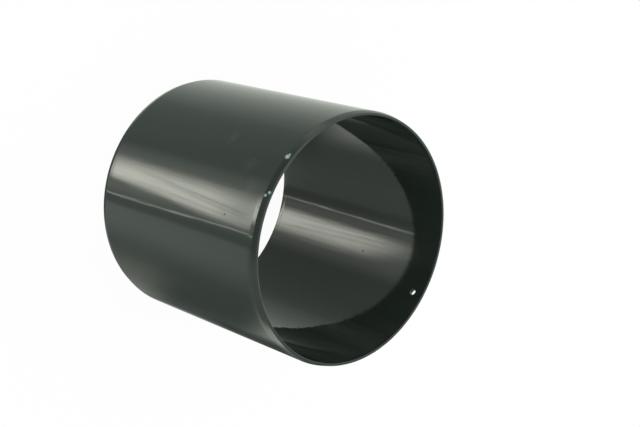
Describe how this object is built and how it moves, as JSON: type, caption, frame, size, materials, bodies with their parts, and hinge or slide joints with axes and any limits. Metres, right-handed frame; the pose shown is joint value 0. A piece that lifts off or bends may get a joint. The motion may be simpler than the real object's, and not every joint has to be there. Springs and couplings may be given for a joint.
{
  "type": "pvc pipe coupling",
  "caption": "Thin-walled grey PVC slip coupling for round pipe: a straight open sleeve with chamfered ends and a small drilled fixing hole near one mouth.",
  "frame": {"origin": "centre of the end that it stands on, on the bore's axis", "axes": "+Z along the bore, up to the mouth that has the fixing hole; +Y out through the fixing hole"},
  "size_m": [0.1664, 0.1664, 0.164],
  "materials": {
    "pvc": "extruded grey PVC, smooth and glossy, with fine lines along the axis"
  },
  "bodies": {
    "root": {"coupling_sleeve": "pvc"}
  },
  "joints": []
}
